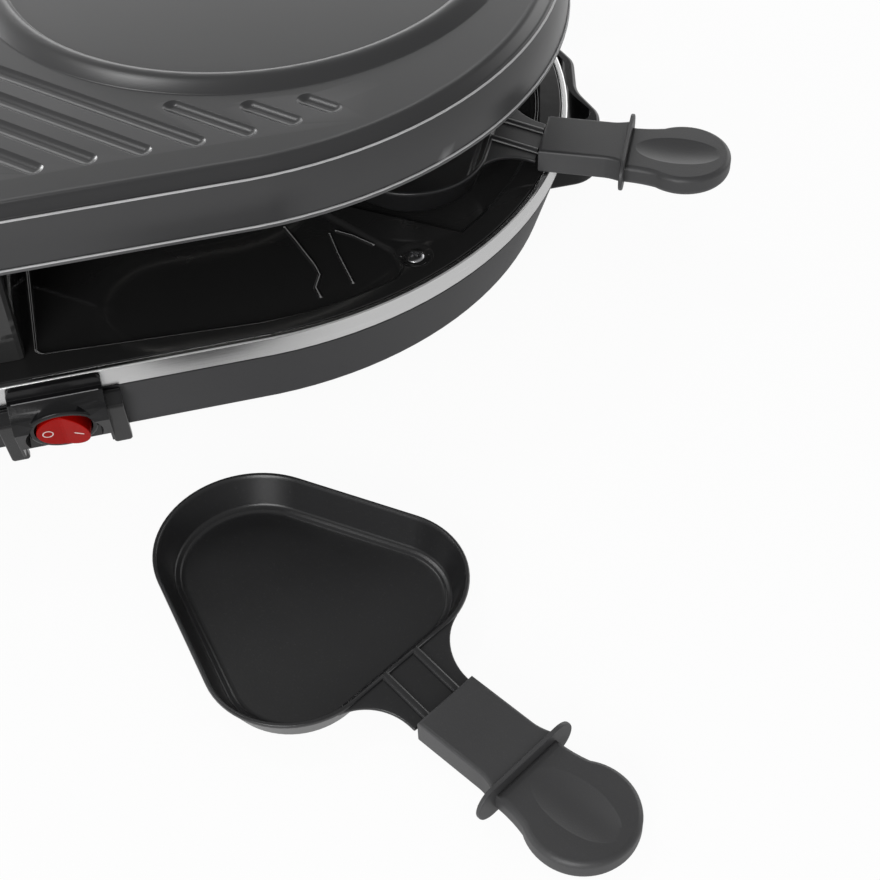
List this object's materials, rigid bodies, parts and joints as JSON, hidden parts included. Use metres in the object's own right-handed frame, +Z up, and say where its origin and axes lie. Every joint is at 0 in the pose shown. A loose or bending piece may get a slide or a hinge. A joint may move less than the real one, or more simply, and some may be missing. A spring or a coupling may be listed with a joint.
{
  "type": "raclette grill",
  "caption": "Oval raclette grill with an enamel tray, a lift-off grill plate with a crepe ring, slide-in pans, side handles and a rocker switch.",
  "frame": {"origin": "centre of the bounding box of the whole set, on the table", "axes": "+Z up, the switch side towards -Y, the long side of the oval along X"},
  "size_m": [0.5524, 0.5636, 0.1128],
  "materials": {
    "non_stick_plate": "non-stick coating, satin, finely grained",
    "non_stick_pan": "non-stick coating, satin",
    "dark_grey_shell": "satin",
    "bright_steel": "satin",
    "black_enamel": "glossy enamel",
    "zinc_plated_steel": "plated",
    "element_tube": "dark, heat tinted",
    "black_plastic": "semi-gloss",
    "grey_handle_plastic": "satin",
    "red_rocker": "glossy, translucent red",
    "black_rubber": "matt",
    "white_ceramic": "unglazed",
    "lead_sleeve": "woven glass sleeve"
  },
  "bodies": {
    "grill": {"base_plate": "dark_grey_shell", "base_shell": "dark_grey_shell", "centre_bridge": "black_enamel", "cord_inlet": "black_plastic", "drip_tray": "black_enamel", "element_bracket_left": "zinc_plated_steel", "element_bracket_right": "zinc_plated_steel", "foot_front_left": "black_rubber", "foot_front_right": "black_rubber", "foot_rear_left": "black_rubber", "foot_rear_right": "black_rubber", "heating_element_left": "element_tube", "heating_element_right": "element_tube", "lead_to_inlet": "lead_sleeve", "lead_to_switch": "lead_sleeve", "plate_support_left": "black_enamel", "plate_support_right": "black_enamel", "side_handle_left": "black_plastic", "side_handle_right": "black_plastic", "switch_body": "black_plastic", "switch_housing": "black_plastic", "terminal_block": "white_ceramic", "tray_screw_1": "zinc_plated_steel", "tray_screw_2": "zinc_plated_steel", "tray_screw_3": "zinc_plated_steel", "tray_screw_4": "zinc_plated_steel", "trim_band": "bright_steel"},
    "pan_front_left": {"pan_front_left": "non_stick_pan", "pan_handle_front_left": "grey_handle_plastic"},
    "pan_back_left": {"pan_back_left": "non_stick_pan", "pan_handle_back_left": "grey_handle_plastic"},
    "pan_back_right": {"pan_back_right": "non_stick_pan", "pan_handle_back_right": "grey_handle_plastic"},
    "pan_right_front": {"pan_right_front": "non_stick_pan", "pan_handle_right_front": "grey_handle_plastic"},
    "pan_right_back": {"pan_right_back": "non_stick_pan", "pan_handle_right_back": "grey_handle_plastic"},
    "pan_left_front": {"pan_left_front": "non_stick_pan", "pan_handle_left_front": "grey_handle_plastic"},
    "pan_left_back": {"pan_left_back": "non_stick_pan", "pan_handle_left_back": "grey_handle_plastic"},
    "pan_loose": {"pan_loose": "non_stick_pan", "pan_handle_loose": "grey_handle_plastic"},
    "grill_plate": {"grill_plate": "non_stick_plate"},
    "rocker": {"rocker": "red_rocker"}
  },
  "joints": [
    {"name": "plate_lift", "type": "slide", "parent": "grill", "child": "grill_plate", "axis": [0, 0, 1], "range_m": [0, 0.12]},
    {"name": "rocker_tilt", "type": "hinge", "parent": "grill", "child": "rocker", "pos_m": [0.0155, -0.08321, 0.02189], "axis": [0, -0.3015, 0.9535], "range_deg": [0, 20]},
    {"name": "pan_front_left_slide", "type": "slide", "parent": "grill", "child": "pan_front_left", "axis": [0, -0.9945, 0.1045], "range_m": [0, 0.14]},
    {"name": "pan_back_left_slide", "type": "slide", "parent": "grill", "child": "pan_back_left", "axis": [0, 0.9945, 0.1045], "range_m": [0, 0.14]},
    {"name": "pan_back_right_slide", "type": "slide", "parent": "grill", "child": "pan_back_right", "axis": [0, 0.9945, 0.1045], "range_m": [0, 0.14]},
    {"name": "pan_right_front_slide", "type": "slide", "parent": "grill", "child": "pan_right_front", "axis": [0.8939, -0.436, 0.1045], "range_m": [0, 0.14]},
    {"name": "pan_right_back_slide", "type": "slide", "parent": "grill", "child": "pan_right_back", "axis": [0.8939, 0.436, 0.1045], "range_m": [0, 0.14]},
    {"name": "pan_left_front_slide", "type": "slide", "parent": "grill", "child": "pan_left_front", "axis": [-0.8939, -0.436, 0.1045], "range_m": [0, 0.14]},
    {"name": "pan_left_back_slide", "type": "slide", "parent": "grill", "child": "pan_left_back", "axis": [-0.8939, 0.436, 0.1045], "range_m": [0, 0.14]},
    {"name": "pan_loose_lift", "type": "slide", "parent": "grill", "child": "pan_loose", "axis": [0, 0, 1], "range_m": [0, 0.1]}
  ]
}
